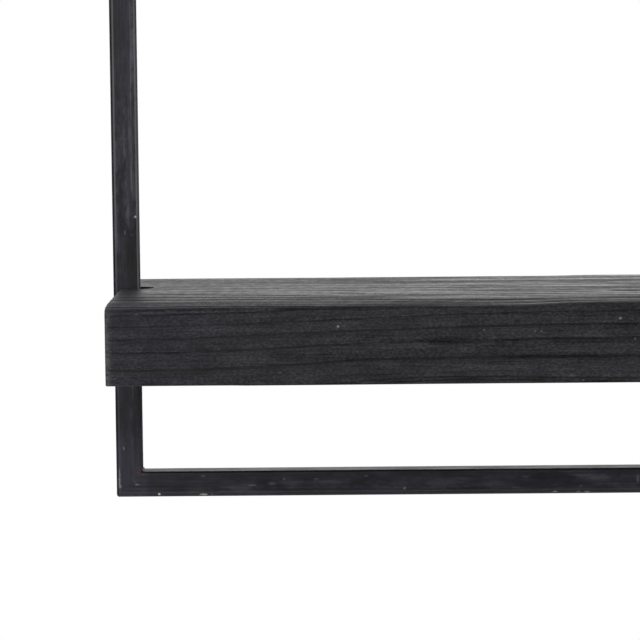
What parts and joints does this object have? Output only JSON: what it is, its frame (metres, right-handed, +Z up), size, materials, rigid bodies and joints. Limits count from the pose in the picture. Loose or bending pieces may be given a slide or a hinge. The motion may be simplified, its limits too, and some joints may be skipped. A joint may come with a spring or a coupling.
{
  "type": "wall shelving unit",
  "caption": "Wall-hung shelving unit: thick black-stained planks, slotted at their ends, carried in a flat rectangular frame of black square steel tube.",
  "frame": {"origin": "on the wall plane, at the centre of the four keyhole entry holes in the planks' backs", "axes": "+X to the right along the planks, +Y back into the wall, +Z up"},
  "size_m": [0.8, 0.2, 0.6],
  "materials": {
    "stained_wood": "brushed softwood, black stain, satin",
    "black_steel": "blackened and lacquered steel, satin, slightly blotchy",
    "weld_steel": "lacquered weld bead with a trace of rust",
    "black_screw": "black oxide",
    "zinc_steel": "bright zinc plate"
  },
  "bodies": {
    "root": {"lower_plank": "stained_wood", "upper_plank": "stained_wood", "left_upright": "black_steel", "right_upright": "black_steel", "bottom_rail": "black_steel", "top_rail": "black_steel", "tab_screws": "black_screw", "hanger_screws": "zinc_steel", "lower_left_corner_weld": "weld_steel", "lower_left_tab": "black_steel", "lower_left_tab_weld": "weld_steel", "lower_left_hanger": "zinc_steel", "lower_right_corner_weld": "weld_steel", "lower_right_tab": "black_steel", "lower_right_tab_weld": "weld_steel", "lower_right_hanger": "zinc_steel", "upper_left_corner_weld": "weld_steel", "upper_left_tab": "black_steel", "upper_left_tab_weld": "weld_steel", "upper_left_hanger": "zinc_steel", "upper_right_corner_weld": "weld_steel", "upper_right_tab": "black_steel", "upper_right_tab_weld": "weld_steel", "upper_right_hanger": "zinc_steel"}
  },
  "joints": []
}
